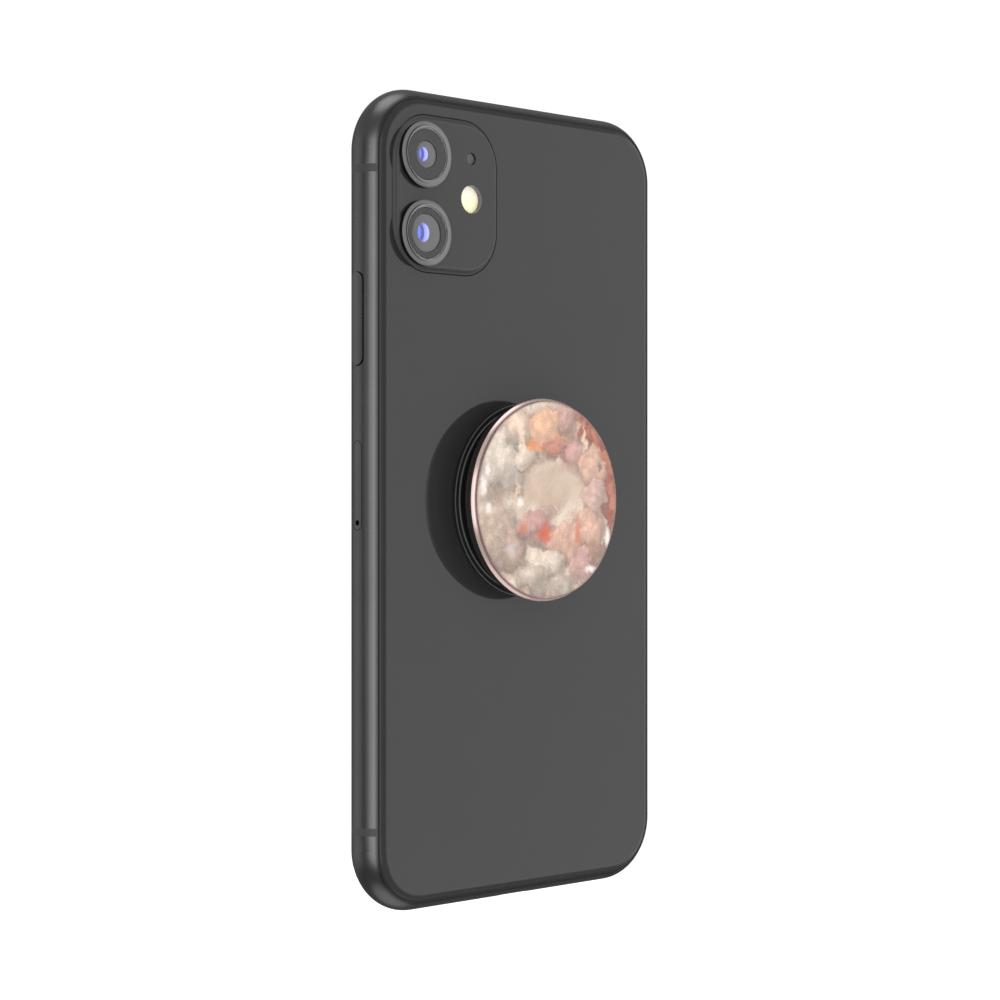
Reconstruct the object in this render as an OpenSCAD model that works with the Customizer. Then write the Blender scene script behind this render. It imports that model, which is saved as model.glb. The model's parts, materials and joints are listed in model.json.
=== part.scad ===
// Smartphone with a round expanding grip fixed to the middle of its back.
// +Z runs up the phone's length, +Y points out of its back, +X is the power-button side.
// The origin is the mouth of the charging port, at the middle of the bottom edge.
// All sizes are in millimetres.

/* [Body] */
// Width across the side rails
body_w = 75.7; // [75:0.1:76.5]
// Length from the bottom edge to the top edge
body_h = 150.9; // [150:0.1:152]
// Thickness over the two glasses
body_t = 8.3; // [8.2:0.05:8.5]
// Corner radius of the outline
corner_r = 12; // [11.6:0.1:12.4]
// Radius of the rounded side of the rails
side_r = 4.41; // [4.38:0.01:4.6]
// Depth of the rails, from the outline to their inner face
rail_t = 3.3; // [3.2:0.05:3.4]
// Height of each antenna break's centre above or below mid-length
break_at = 59.9; // [58:0.1:61]
// Width of an antenna break
break_w = 1.45; // [1:0.05:2]

/* [Glass] */
// Thickness of the front and back glass
glass_t = 0.7; // [0.6:0.05:0.75]
// Drop of the curved glass edge, from the flat face to the rim
edge_drop = 0.55; // [0.45:0.05:0.6]
// Width of the curved glass edge
edge_run = 1.25; // [1:0.05:1.4]
// Visible width of the gasket around each glass
gasket_w = 0.26; // [0.2:0.02:0.3]

/* [Camera plateau] */
// Width of the plateau at its foot
plateau_w = 26.2; // [25.6:0.1:26.6]
// Length of the plateau at its foot
plateau_h = 28.75; // [28.25:0.25:29.25]
// Corner radius of the plateau at its foot
plateau_r = 8.5; // [8:0.1:9]
// Height of the plateau above the back
plateau_rise = 0.9; // [0.8:0.05:1]
// Width of its soft S-shaped wall
plateau_wall = 1.15; // [1:0.05:1.3]
// Outer radius of a lens ring
ring_r = 6.05; // [5.95:0.05:6.15]
// Height of a lens ring above the plateau
ring_rise = 1.2; // [1.1:0.05:1.3]
// Radius of the aperture disc of the upper lens
upper_aperture_r = 2.47; // [2:0.01:3]
// Radius of the aperture disc of the lower lens
lower_aperture_r = 3.49; // [3:0.01:3.8]
// Radius of the flash opening
flash_r = 2.58; // [2.4:0.02:2.7]
// Radius of the rear microphone opening
rear_mic_r = 1.13; // [1:0.01:1.3]

/* [Side controls] */
// Length of the power button's opening
power_len = 17.1; // [16:0.1:18]
// Length of a volume button's opening
volume_len = 10.4; // [9.8:0.1:10.8]
// Height of every button opening across the rail
button_w = 2.96; // [2.7:0.02:3.1]
// Gap around each button cap
button_gap = 0.13; // [0.1:0.01:0.2]
// How far a button cap stands proud of the rail
button_proud = 0.3; // [0.2:0.05:0.4]
// Length of the mute switch's window
mute_len = 7; // [6.5:0.1:7.5]
// Length of the SIM tray's face
tray_len = 16.05; // [15.8:0.05:16.4]
// Height of the SIM tray's face across the rail
tray_w = 2; // [1.9:0.05:2.2]

/* [Bottom edge] */
// Width of the charging port's mouth
port_w = 8.94; // [8.9:0.02:9]
// Height of the charging port's mouth
port_t = 3.26; // [3.2:0.02:3.3]
// Number of sound holes on each side of the port
sound_holes = 6; // [4:1:7]
// Radius of a sound hole
sound_hole_r = 0.65; // [0.5:0.05:0.8]

/* [Grip] */
// Outer radius of the grip's metal rim
rim_r = 19.1; // [18.9:0.1:19.3]
// Radius of the grip's base disc
base_r = 18.3; // [18:0.1:18.5]
// Height of the folded grip above the back
grip_h = 7.5; // [7.4:0.05:7.6]

/* [Hidden] */
$fn = 96;

// Small allowance that makes a cutting shape pass right through a wall
cut = 0.5;
// Gap that keeps two curved faces of fixed pieces apart
fit_gap = 0.02;
// Gap round a piece that drops into a bore or a pocket
drop_gap = 0.05;
// Gap round a screw in the parts it passes through
screw_gap = 0.1;

// Levels across the thickness, from the back to the front
mid_z = body_h / 2;
side_x = body_w / 2;
back_y = body_t / 2;
lip_y = back_y - edge_drop - 2 * fit_gap;
glass_in_y = back_y - glass_t;
gasket_t = 0.15;
ledge_y = glass_in_y - gasket_t;
plate_t = 0.6;
plate_in_y = glass_in_y - plate_t;
panel_t = 1.1;
panel_in_y = -glass_in_y + panel_t;
display_plate_t = 0.4;
inner_front_y = panel_in_y + display_plate_t;

// Distances in from the outline
lip_in = side_r - sqrt(side_r * side_r - lip_y * lip_y);
ledge_in = lip_in + 2 * fit_gap;
glass_rim_in = ledge_in + gasket_w + 2 * fit_gap;
flat_in = glass_rim_in + edge_run;
flange_in = rail_t + 1.3;
plate_in = rail_t + 0.1;
edge_r = (edge_run * edge_run + edge_drop * edge_drop) / (2 * edge_drop);

// Rear camera layout: offsets from mid-width and mid-length
plateau_x = 20;
plateau_z = mid_z + 56.125;
plateau_y = back_y + plateau_rise;
lens_x = 26.15;
upper_z = mid_z + 63;
lower_z = mid_z + 48.7;
flash_x = 14.2;
flash_z = mid_z + 55.9;
flash_depth = 0.9;
led_y = glass_in_y - 0.2;
led_extra_r = 0.6;
led_depth = 0.8;
mic_z = mid_z + 63.45;
sleeve_r = ring_r - 0.5;
cover_r = ring_r - 1.12;
sleeve_in_r = cover_r - 0.23;
cover_t = 0.3;
cover_y = plateau_y + ring_rise - cover_t - 0.08;
sleeve_y = plate_in_y + 0.15;
barrel_r = sleeve_in_r - 0.1;
barrel_y = cover_y - 0.06;
lens_seat_depth = 2.6;
lens_gap = 0.05;
lens_rise = 0.2;
camera_half = 5.9;
camera_back_y = plate_in_y - plate_t - 0.1;
camera_front_y = inner_front_y + 0.55;
bracket_t = 0.35;
bracket_y = inner_front_y + 0.1;
bracket_head_t = 0.08;
bracket_screw_y = 0.9;
post_r = 1.1;
screw_r = 0.55;
screw_head_r = 1;
bracket_screw_at = [
    [17.6, mid_z + 43.35], [17.2, mid_z + 59.35], [22.5, mid_z + 55.85], [30.5, mid_z + 55.85]
];

// Side controls: heights and depths in from the outline
power_z = mid_z + 32.75;
volume_up_z = mid_z + 33.7;
volume_down_z = mid_z + 20.4;
mute_z = mid_z + 47.5;
tray_z = mid_z + 2.62;
pocket_in = 1.7;
pocket_extra = 2;
pocket_w = 4.4;
flange_gap = 0.05;
flange_room = 0.3;
button_flange_t = 0.5;
plunger_r = 0.8;
plunger_in = 2.6;
dome_in = 2.9;
switch_in = 3.3;
switch_back_in = 4.2;
strip_t = 0.15;
mute_travel = 1;
mute_lever_w = 1.7;
mute_face_in = 0.45;
mute_base_in = 2;

// SIM tray
tray_gap = 0.1;
tray_face_t = 1.4;
bed_from_z = tray_z - 5.65;
bed_to_z = tray_z + 6.75;
bed_half_t = 0.55;
bed_len = 23.2;
bed_end_x = side_x - tray_face_t - bed_len;
card = [12.3, 0.67, 8.8];
card_gap = 0.1;
card_x = bed_end_x + 1.2;
card_y = [bed_half_t - card[1] - drop_gap, bed_half_t - drop_gap];
card_z = (bed_from_z + bed_to_z) / 2;
pin_hole_r = 0.5;
pin_z = tray_z - 6.75;

// Inside: x and z limits of the blocks that fill the casing
battery_x = [-32.8, 7.5, 32.6];
battery_z = [22.5, 46.5, 113.2];
battery_y = [inner_front_y + 0.35, plate_in_y - 0.5];
board_x = [-32, 9.8, 15.5, 33.2];
board_z = [48, 114.2, 116.5, 126, 137];
board_y = [1.35, 2.15];
shield_y = inner_front_y + 0.75;
coil_r = 22.5;
coil_hole_r = 9.5;
coil_shield_r = 25;
coil_shield_t = 0.35;
coil_seat_y = plate_in_y + 0.1;
coil_window_r = 25.5;
notch_w = 37;
notch_h = 5.6;
panel_in = 4.75;
earpiece_z = body_h - 4.9;
earpiece_len = 14;
earpiece_w = 1.2;
front_camera_x = 11.5;
sensor_z = body_h - 7.4;
sensor_y = [-1.6, 1];
sensor_face_y = -glass_in_y + drop_gap;
port_depth = 7.5;
port_shell_t = 0.18;
port_from_z = 1.25;
port_to_z = 9.5;
tongue = [6.69, 0.7, 5.6];
port_gap = 0.1;
flex_t = 0.15;
screw_x = 7.3;
screw_seat_z = 1;
screw_head_t = 0.6;
screw_len = 4.2;
sound_from_x = 11.2;
sound_pitch = 2.05;
inner_z = 6;

// Grip levels above the back, then as positions across the thickness
function grip_y(h) = back_y + h;
pad_h = 0.45;
base_step_h = 0.9;
base_top_h = 1.3;
base_step_r = base_r - 1;
well_r = 9;
well_h = 0.85;
bellows_t = 0.6;
bellows_gap = 0.1;
foot_r = 15.8;
waist_out_r = 12.3;
waist_in_r = 11.2;
waist_h = [1.5, 2.6];
carrier_r = 8;
carrier_h = [1.6, 3.15];
neck_r = 5.9;
neck_h = 4.6;
neck_gap = 0.08;
lug_gap = 0.2;
lug_r = 7.2;
lug_w = 4;
lug_h = [4.05, 4.5];
lug_room_h = [3.95, 4.85];
top_r = rim_r - 0.5;
top_h = [3.3, 5.6];
pad_top_h = 6;
stone_r = rim_r - 0.6;
pad_top_r = stone_r - 0.5;
stone_edge_h = 7;
shoulder_h = 6.52;
rim_lip = 0.06;
rim_round = 0.32;
rim_bulge = 0.03;
stone_rise = grip_h - stone_edge_h;

// ---- Shape helpers ----

// Points of a shallow dome from its axis out to radius r; top is the level of its crown
function dome_points(r, rise, top, steps = 12) =
    let (ball_r = (r * r + rise * rise) / (2 * rise))
    [for (i = [0:steps]) let (x = r * i / steps) [x, top - ball_r + sqrt(ball_r * ball_r - x * x)]];

// Points of a quarter ellipse round a centre, from its full width to its full height
function quarter_points(centre, w, h, steps = 8) =
    [for (i = [0:steps]) let (a = 90 * i / steps) [centre[0] + w * cos(a), centre[1] + h * sin(a)]];

// Rectangle with true round corners, centred on the origin
module rounded(w, h, r) {
    square([w - 2 * r, h], center = true);
    square([w, h - 2 * r], center = true);
    for (x = [-1, 1], y = [-1, 1])
        translate([x * (w / 2 - r), y * (h / 2 - r)]) circle(r = r);
}

// Slot shape with round ends, long along the second axis
module pill(length, width) {
    square([width, length - width], center = true);
    for (y = [-1, 1])
        translate([0, y * (length - width) / 2]) circle(d = width);
}

// Flat plate between two levels, from an outline drawn in X and Z
module slab(y0, y1) {
    translate([0, y1, 0]) rotate([90, 0, 0]) linear_extrude(y1 - y0) children();
}

// Rounded outline of the body at a distance in from its edge
module outline(inset) {
    translate([0, mid_z]) rounded(body_w - 2 * inset, body_h - 2 * inset, corner_r - inset);
}

// Block given by its limits along each axis
module block(x, y, z) {
    translate([x[0], y[0], z[0]]) cube([x[1] - x[0], y[1] - y[0], z[1] - z[0]]);
}

// Round bar along Y
module drum(x, z, r, y) {
    translate([x, y[0], z]) rotate([-90, 0, 0]) cylinder(r = r, h = y[1] - y[0]);
}

// Turned shape about an axis along Y, from a profile drawn in radius and level
module turned(x, z) {
    translate([x, 0, z]) rotate([-90, 0, 0]) rotate_extrude() children();
}

// Slot-shaped bar along X, on the side rails
module side_pill(z, length, width, x) {
    translate([x[0], 0, z]) rotate([90, 0, 90]) linear_extrude(x[1] - x[0]) pill(length, width);
}

// Slot-shaped bar up from the bottom edge
module bottom_pill(x, length, width, z) {
    translate([x, 0, z[0]]) linear_extrude(z[1] - z[0]) rotate(90) pill(length, width);
}

// Sweeps a profile round a rounded rectangle; its zero is the outline, negative is inwards
module swept(w, h, r) {
    for (k = [0:3]) {
        upright = k % 2 == 0;
        half = (upright ? w : h) / 2;
        run = (upright ? h : w) - 2 * r;
        corner_x = [1, -1, -1, 1][k];
        corner_z = [-1, -1, 1, 1][k];
        rotate([0, 90 * k, 0]) translate([half, 0, -run / 2]) linear_extrude(run) children();
        translate([corner_x * (w / 2 - r), 0, corner_z * (h / 2 - r)])
            rotate([0, 90 * k, 0]) rotate([-90, 0, 0]) rotate_extrude(angle = 90)
                translate([r, 0]) children();
    }
}

// ---- Casing ----

// Section of the rails: a round outside, a ledge for each glass and an inner flange
module rail_section() {
    difference() {
        intersection() {
            translate([-side_r, 0]) circle(r = side_r);
            translate([-rail_t, -lip_y]) square([rail_t, 2 * lip_y]);
        }
        for (y = [ledge_y, -ledge_y - cut])
            translate([-rail_t - cut, y]) square([rail_t + cut - ledge_in, cut]);
    }
    translate([-flange_in, plate_in_y - plate_t]) square([flange_in - rail_t + cut, plate_t]);
}

module rail_ring() {
    translate([0, 0, mid_z]) swept(body_w, body_h, corner_r) rail_section();
}

// One straight side rail between its two antenna breaks, on the +X side
module side_rail() {
    length = 2 * break_at - break_w;
    translate([side_x, 0, mid_z - length / 2]) linear_extrude(length) rail_section();
}

// End of the ring beyond the breaks; dir is 1 for the top and -1 for the bottom
module end_rail(dir) {
    from = break_at + break_w / 2;
    length = mid_z - from + cut;
    intersection() {
        rail_ring();
        translate([0, 0, mid_z + dir * (from + length / 2)])
            cube([body_w + cut, body_t, length], center = true);
    }
}

// Window through a rail with a wider pocket behind it for the button's flange
module button_window(z, length) {
    side_pill(z, length, button_w, [side_x - pocket_in - cut, side_x + cut]);
    side_pill(z, length + pocket_extra, pocket_w, [side_x - rail_t - cut, side_x - pocket_in]);
}

module frame_right() {
    color("#4a4b4d") difference() {
        side_rail();
        button_window(power_z, power_len);
        side_pill(tray_z, tray_len + 2 * tray_gap, tray_w + 2 * tray_gap,
            [side_x - rail_t - cut, side_x + cut]);
    }
}

module frame_left() {
    color("#4a4b4d") mirror([1, 0, 0]) difference() {
        side_rail();
        button_window(volume_up_z, volume_len);
        button_window(volume_down_z, volume_len);
        button_window(mute_z, mute_len);
    }
}

module frame_top() {
    color("#4a4b4d") end_rail(1);
}

// Centres of the sound holes beside the port, on the +X side
function sound_x(i) = sound_from_x + sound_pitch * i;

module frame_bottom() {
    color("#4a4b4d") difference() {
        end_rail(-1);
        bottom_pill(0, port_w, port_t, [-cut, rail_t + cut]);
        bottom_pill(0, port_w + 2 * (port_shell_t + port_gap), port_t + 2 * (port_shell_t + port_gap),
            [port_from_z - fit_gap, flange_in + cut]);
        for (dir = [-1, 1]) {
            translate([dir * screw_x, 0, -cut]) cylinder(r = screw_r + screw_gap, h = rail_t + 2 * cut);
            translate([dir * screw_x, 0, -cut])
                cylinder(r = screw_head_r + drop_gap, h = cut + screw_seat_z);
            for (i = [0:sound_holes - 1])
                translate([dir * sound_x(i), 0, -cut]) cylinder(r = sound_hole_r, h = rail_t + 2 * cut);
        }
    }
}

module antenna_breaks() {
    color("#4b4c4e") for (side = [0, 180], dir = [-1, 1])
        rotate([0, 0, side]) mirror([0, side / 180, 0])
            translate([side_x, 0, mid_z + dir * break_at - break_w / 2])
                linear_extrude(break_w) rail_section();
}

// Plate behind the glass, with openings for the cameras and posts for their bracket
module mid_plate() {
    ring_room = 0.25;
    flash_room = 0.8;
    mic_room = 0.4;
    color("#8b8d90") {
        difference() {
            slab(plate_in_y, glass_in_y) outline(plate_in);
            drum(0, mid_z, coil_window_r, [plate_in_y - cut, glass_in_y + cut]);
            for (z = [upper_z, lower_z])
                drum(lens_x, z, sleeve_r + ring_room, [plate_in_y - cut, glass_in_y + cut]);
            drum(flash_x, flash_z, flash_r + flash_room, [plate_in_y - cut, glass_in_y + cut]);
            drum(flash_x, mic_z, rear_mic_r + mic_room, [plate_in_y - cut, glass_in_y + cut]);
        }
        for (at = bracket_screw_at)
            difference() {
                drum(at[0], at[1], post_r, [bracket_y + bracket_t, plate_in_y]);
                drum(at[0], at[1], screw_r + drop_gap, [bracket_y, bracket_screw_y + screw_gap]);
            }
    }
}

// ---- Glass and gaskets, drawn for the back ----

// Curved edge of a glass
module glass_edge_section() {
    intersection() {
        translate([-flat_in - cut, glass_in_y]) square([cut + edge_run, glass_t]);
        union() {
            translate([-flat_in, back_y - edge_r]) circle(r = edge_r);
            translate([-flat_in - cut, glass_in_y]) square([cut, glass_t]);
        }
    }
}

module glass_plate() {
    slab(glass_in_y, back_y) outline(flat_in);
    translate([0, 0, mid_z]) swept(body_w, body_h, corner_r) glass_edge_section();
}

module gasket_ring() {
    lip_from = ledge_in + fit_gap;
    lip_to = lip_from + gasket_w;
    strip_to = rail_t - drop_gap;
    translate([0, 0, mid_z]) swept(body_w, body_h, corner_r) polygon([
        [-lip_from, ledge_y], [-lip_from, lip_y + fit_gap], [-lip_to, lip_y + fit_gap],
        [-lip_to, glass_in_y], [-strip_to, glass_in_y], [-strip_to, ledge_y]
    ]);
}

// S-shaped wall of the plateau: a round shoulder over a hollow foot that ends in a fine step
module plateau_section() {
    foot_step = 0.03;
    arc_r = (plateau_wall * plateau_wall + plateau_rise * plateau_rise) / (4 * plateau_rise);
    foot_shift = sqrt(arc_r * arc_r - pow(arc_r - foot_step, 2));
    half_wall = plateau_wall / 2;
    half_rise = plateau_rise / 2;
    intersection() {
        translate([-plateau_wall, plateau_rise - arc_r]) circle(r = arc_r);
        translate([-plateau_wall, half_rise]) square([half_wall, half_rise]);
    }
    translate([-plateau_wall, -glass_t / 2]) square([half_wall, glass_t / 2 + half_rise]);
    translate([-plateau_wall - cut, -glass_t / 2]) square([cut, glass_t / 2 + plateau_rise]);
    difference() {
        translate([-half_wall, -glass_t / 2]) square([half_wall - foot_shift, glass_t / 2 + half_rise]);
        translate([0, arc_r]) circle(r = arc_r);
    }
}

module back_glass() {
    inner = 2 * (plateau_wall + cut / 2);
    color("#505050") difference() {
        union() {
            glass_plate();
            translate([plateau_x, back_y, plateau_z])
                swept(plateau_w, plateau_h, plateau_r) plateau_section();
            slab(glass_in_y, plateau_y) translate([plateau_x, plateau_z])
                rounded(plateau_w - inner, plateau_h - inner, plateau_r - inner / 2);
        }
        for (z = [upper_z, lower_z])
            drum(lens_x, z, sleeve_r + drop_gap, [glass_in_y - cut, plateau_y + cut]);
        drum(flash_x, flash_z, flash_r, [glass_in_y - cut, plateau_y + cut]);
        drum(flash_x, mic_z, rear_mic_r, [glass_in_y - cut, plateau_y + cut]);
    }
}

module back_gasket() {
    color("#1b1c1e") gasket_ring();
}

module front_glass() {
    color("#0a0b0d") difference() {
        mirror([0, 1, 0]) glass_plate();
        slab(-back_y - cut, -glass_in_y + cut) translate([0, earpiece_z])
            rotate(90) pill(earpiece_len, earpiece_w);
    }
}

module display_gasket() {
    color("#131416") mirror([0, 1, 0]) gasket_ring();
}

// ---- Rear camera ----

// Turned ring: a sleeve through the glass, a rounded shoulder and a fine inner lip
module lens_ring(z) {
    top_y = plateau_y + ring_rise;
    lip_w = 0.2;
    shoulder_w = ring_r - cover_r - lip_w;
    shoulder_drop = 0.4;
    color("#7f7f7f") turned(lens_x, z) polygon(concat(
        [[sleeve_in_r, sleeve_y], [sleeve_r, sleeve_y], [sleeve_r, plateau_y], [ring_r, plateau_y]],
        quarter_points([ring_r - shoulder_w, top_y - shoulder_drop], shoulder_w, shoulder_drop),
        [[cover_r + fit_gap, top_y - lip_w / 2], [cover_r + fit_gap, cover_y], [sleeve_in_r, cover_y]]
    ));
}

module lens_ring_upper() {
    lens_ring(upper_z);
}

module lens_ring_lower() {
    lens_ring(lower_z);
}

module lens_cover(z) {
    color("#565656") drum(lens_x, z, cover_r, [cover_y, cover_y + cover_t]);
}

module lens_cover_upper() {
    lens_cover(upper_z);
}

module lens_cover_lower() {
    lens_cover(lower_z);
}

// Camera block with a barrel that holds the front lens
module camera_block(z, aperture_r) {
    seat_r = aperture_r + lens_gap;
    color("#1c1d1f") difference() {
        union() {
            block([lens_x - camera_half, lens_x + camera_half], [camera_front_y, camera_back_y],
                [z - camera_half, z + camera_half]);
            drum(lens_x, z, barrel_r, [camera_back_y - cut, barrel_y]);
        }
        drum(lens_x, z, seat_r, [barrel_y - lens_seat_depth, barrel_y + cut]);
    }
}

module camera_upper() {
    camera_block(upper_z, upper_aperture_r);
}

module camera_lower() {
    camera_block(lower_z, lower_aperture_r);
}

// Front lens of a camera: a low dome on a short round body
module lens_element(z, r) {
    foot_y = barrel_y - lens_seat_depth;
    color("#30344a") turned(lens_x, z)
        polygon(concat(dome_points(r, lens_rise, barrel_y), [[r, foot_y], [0, foot_y]]));
}

module lens_element_upper() {
    lens_element(upper_z, upper_aperture_r);
}

module lens_element_lower() {
    lens_element(lower_z, lower_aperture_r);
}

module camera_bracket() {
    foot = 1.8;
    color("#9a9ca0") difference() {
        slab(bracket_y, bracket_y + bracket_t) {
            translate([lens_x, (upper_z + lower_z) / 2])
                square([2 * camera_half, upper_z - lower_z + 2 * camera_half], center = true);
            for (at = [bracket_screw_at[0], bracket_screw_at[1]]) {
                translate(at) circle(r = foot);
                translate([at[0], at[1] - foot]) square([lens_x - camera_half - at[0] + cut, 2 * foot]);
            }
        }
        for (at = bracket_screw_at)
            drum(at[0], at[1], screw_r + screw_gap, [bracket_y - cut, bracket_y + bracket_t + cut]);
    }
}

module bracket_screws() {
    color("#c0c2c4") for (at = bracket_screw_at) {
        drum(at[0], at[1], screw_head_r, [bracket_y - bracket_head_t, bracket_y]);
        drum(at[0], at[1], screw_r, [bracket_y - bracket_head_t, bracket_screw_y]);
    }
}

module flash_diffuser() {
    color("#f4ecd2") drum(flash_x, flash_z, flash_r - drop_gap, [led_y, plateau_y - flash_depth]);
}

module flash_module() {
    color("#d8c46a") drum(flash_x, flash_z, flash_r + led_extra_r, [plate_in_y - led_depth, led_y]);
}

// Microphone capsule with the meshed tube that reaches its opening
module rear_mic() {
    capsule = 1.9;
    capsule_y = [plate_in_y - 1.3, plate_in_y - 0.2];
    mesh_depth = 0.4;
    color("#6f7072") {
        drum(flash_x, mic_z, rear_mic_r - drop_gap, [capsule_y[0], plateau_y - mesh_depth]);
        block([flash_x - capsule, flash_x + capsule], capsule_y, [mic_z - capsule, mic_z + capsule]);
    }
}

// ---- Display side ----

// Screen outline with the notch for the front camera and earpiece
module screen_outline(inset, grow) {
    notch_r = 2;
    difference() {
        outline(inset);
        translate([0, body_h - inset]) rounded(notch_w + 2 * grow, 2 * (notch_h + grow), notch_r);
    }
}

module display_panel() {
    color("#101216") slab(-glass_in_y, panel_in_y) screen_outline(panel_in, 0);
}

// Steel plate behind the screen, with the two tabs the bottom screws hold
module display_plate() {
    notch_gap = 0.2;
    tab_half = 1.6;
    tab_y = 1.1;
    tab_t = 1.6;
    tab_z = rail_t + 0.3;
    color("#85878a") {
        slab(panel_in_y, inner_front_y) screen_outline(rail_t + notch_gap, notch_gap);
        for (x = [-screw_x, screw_x])
            difference() {
                block([x - tab_half, x + tab_half], [panel_in_y, tab_y], [tab_z, tab_z + tab_t]);
                translate([x, 0, tab_z - cut]) cylinder(r = screw_r + drop_gap, h = tab_t + 2 * cut);
            }
    }
}

module earpiece_mesh() {
    mesh_y = [-back_y + 0.15, -glass_in_y - 0.1];
    color("#2a2b2d") slab(mesh_y[0], mesh_y[1]) translate([0, earpiece_z])
        rotate(90) pill(earpiece_len - 2 * drop_gap, earpiece_w - 2 * drop_gap);
}

// Speaker above the display, with a duct up to its slot in the glass
module earpiece_speaker() {
    box_half = 9;
    box_y = [inner_front_y + 0.2, 1.2];
    box_z = [body_h - 9.4, body_h - 3.9];
    duct_half = 6;
    duct_half_w = 0.5;
    color("#3a3b3d") {
        block([-box_half, box_half], box_y, box_z);
        block([-duct_half, duct_half], [sensor_face_y, box_y[0]],
            [earpiece_z - duct_half_w, earpiece_z + duct_half_w]);
    }
}

// Sensor box with round windows that look out through the front glass
module sensor_box(x, half_h, window_r, window_at) {
    color("#17181c") {
        block(x, sensor_y, [sensor_z - half_h, sensor_z + half_h]);
        for (window_x = window_at)
            drum(window_x, sensor_z, window_r, [sensor_face_y, sensor_y[0]]);
    }
}

module front_camera() {
    half = 2.1;
    lens_r = 1.7;
    sensor_box([front_camera_x - half, front_camera_x + half], half, lens_r, [front_camera_x]);
}

// Depth sensing: a projector and a lens on one side of the earpiece and a lamp on the other
module face_sensor() {
    half_h = 2.3;
    window_r = 1.4;
    sensor_box([-16.5, -9.6], half_h, window_r, [-14.3, -11]);
    sensor_box([14, 18], half_h, window_r, [16]);
}

// ---- Power, board and sound ----

module battery() {
    color("#26282b") slab(battery_y[0], battery_y[1]) {
        translate([battery_x[0], battery_z[0]])
            square([battery_x[1] - battery_x[0], battery_z[2] - battery_z[0]]);
        translate([battery_x[0], battery_z[0]])
            square([battery_x[2] - battery_x[0], battery_z[1] - battery_z[0]]);
    }
}

// Pull tapes: three at the foot of the battery and one across its head
module battery_adhesive() {
    tape_w = 5;
    tape_len = 20;
    tape_from = 1;
    head_x = [-29, 3];
    head_in = 8;
    color("#e9e4d8") {
        for (x = [-27, -13, 1])
            block([x, x + tape_w], [battery_y[1], plate_in_y],
                [battery_z[0] + tape_from, battery_z[0] + tape_from + tape_len]);
        block(head_x, [battery_y[1], plate_in_y],
            [battery_z[2] - head_in, battery_z[2] - head_in + tape_w]);
    }
}

// L-shaped board: a long arm beside the battery and a head above it
module main_board() {
    color("#1d4a33") slab(board_y[0], board_y[1]) polygon([
        [board_x[1], board_z[0]], [board_x[3], board_z[0]], [board_x[3], board_z[2]],
        [board_x[2], board_z[2]], [board_x[2], board_z[3]], [board_x[1], board_z[3]],
        [board_x[1], board_z[4]], [board_x[0], board_z[4]], [board_x[0], board_z[1]],
        [board_x[1], board_z[1]]
    ]);
}

module board_shields() {
    margin = 1;
    reader_room = 3;
    color("#b6b8ba") {
        block([board_x[1] + margin, board_x[3] - margin], [shield_y, board_y[0]],
            [board_z[0] + margin, bed_from_z - reader_room]);
        block([board_x[1] + margin, board_x[3] - margin], [shield_y, board_y[0]],
            [bed_to_z + reader_room, board_z[2] - margin]);
        block([board_x[0] + margin, board_x[1] - margin], [shield_y, board_y[0]],
            [board_z[1] + margin, board_z[4] - margin]);
    }
}

// Sheet-metal sleeve on the board that the tray slides into
module sim_reader() {
    wall = 0.35;
    slot = 0.2;
    end_x = bed_end_x - 1.3;
    half_t = bed_half_t + slot;
    color("#aeb0b2") difference() {
        block([end_x, board_x[3]], [-half_t - wall, half_t + wall],
            [bed_from_z - slot - wall, bed_to_z + slot + wall]);
        block([end_x + wall, board_x[3] + cut], [-half_t, half_t], [bed_from_z - slot, bed_to_z + slot]);
    }
}

// Tray: a face that follows the rail, with its pin hole, and a bed with a pocket for the card
module sim_tray() {
    color("#4d4e50") difference() {
        union() {
            intersection() {
                side_pill(tray_z, tray_len, tray_w, [side_x - tray_face_t, side_x + cut]);
                translate([side_x - side_r, 0, 0]) cylinder(r = side_r, h = body_h);
            }
            block([bed_end_x, side_x - tray_face_t], [-bed_half_t, bed_half_t], [bed_from_z, bed_to_z]);
        }
        block([card_x - card_gap, card_x + card[0] + card_gap], [card_y[0], bed_half_t + cut],
            [card_z - card[2] / 2 - card_gap, card_z + card[2] / 2 + card_gap]);
        translate([side_x - tray_face_t - cut, 0, pin_z]) rotate([0, 90, 0])
            cylinder(r = pin_hole_r, h = tray_face_t + 2 * cut);
    }
}

module sim_card() {
    color("#d9b95a")
        block([card_x, card_x + card[0]], card_y, [card_z - card[2] / 2, card_z + card[2] / 2]);
}

module charging_port() {
    color("#a9abad") {
        difference() {
            bottom_pill(0, port_w + 2 * port_shell_t, port_t + 2 * port_shell_t, [port_from_z, port_to_z]);
            bottom_pill(0, port_w, port_t, [port_from_z - cut, port_depth]);
        }
        translate([-tongue[0] / 2, -tongue[1] / 2, port_depth - tongue[2]])
            cube([tongue[0], tongue[1], tongue[2] + cut]);
    }
}

// Flexible circuit behind the port, with a branch across to the side
module port_flex() {
    flex_y = port_t / 2 + port_shell_t + drop_gap;
    flex_half = 5;
    flex_top = 21.5;
    branch_x = -30;
    branch_w = 4.5;
    color("#7a4a1e") {
        block([-flex_half, flex_half], [flex_y, flex_y + flex_t], [port_from_z + branch_w, flex_top]);
        block([branch_x, -flex_half], [flex_y, flex_y + flex_t], [flex_top - branch_w, flex_top]);
    }
}

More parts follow.
